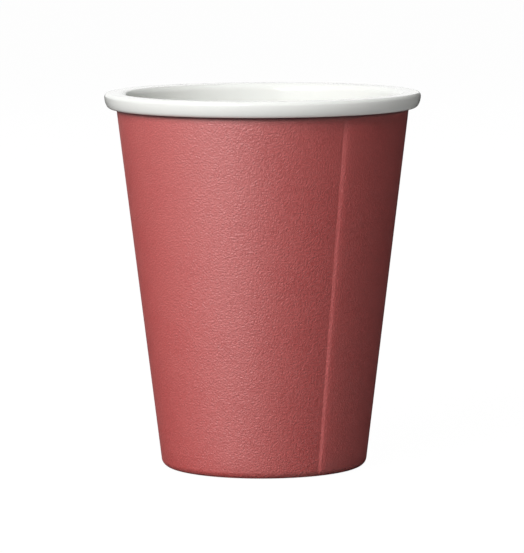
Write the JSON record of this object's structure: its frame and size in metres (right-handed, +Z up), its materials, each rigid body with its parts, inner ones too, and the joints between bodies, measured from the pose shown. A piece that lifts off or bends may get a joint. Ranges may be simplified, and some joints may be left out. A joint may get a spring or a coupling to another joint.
{
  "type": "porcelain cup",
  "caption": "Tapered porcelain cup in paper-cup form: matte red outside with an overlap seam, rolled white rim, glossy white inside, hollow foot.",
  "frame": {"origin": "centre of the foot, in the plane of the table that the cup stands on", "axes": "+Z up along the cup's axis, -Y towards the pictured side, with the wall's seam 31 to 33 degrees round from -Y towards +X"},
  "size_m": [0.08, 0.08, 0.095],
  "materials": {
    "bare_porcelain": "fired and bare, fine matte",
    "red_coat": "matte, with a faint leathery surface",
    "white_glaze": "glossy"
  },
  "bodies": {
    "root": {"porcelain_body": "bare_porcelain", "outer_coat": "red_coat", "liner_glaze": "white_glaze", "base_glaze": "white_glaze"}
  },
  "joints": []
}
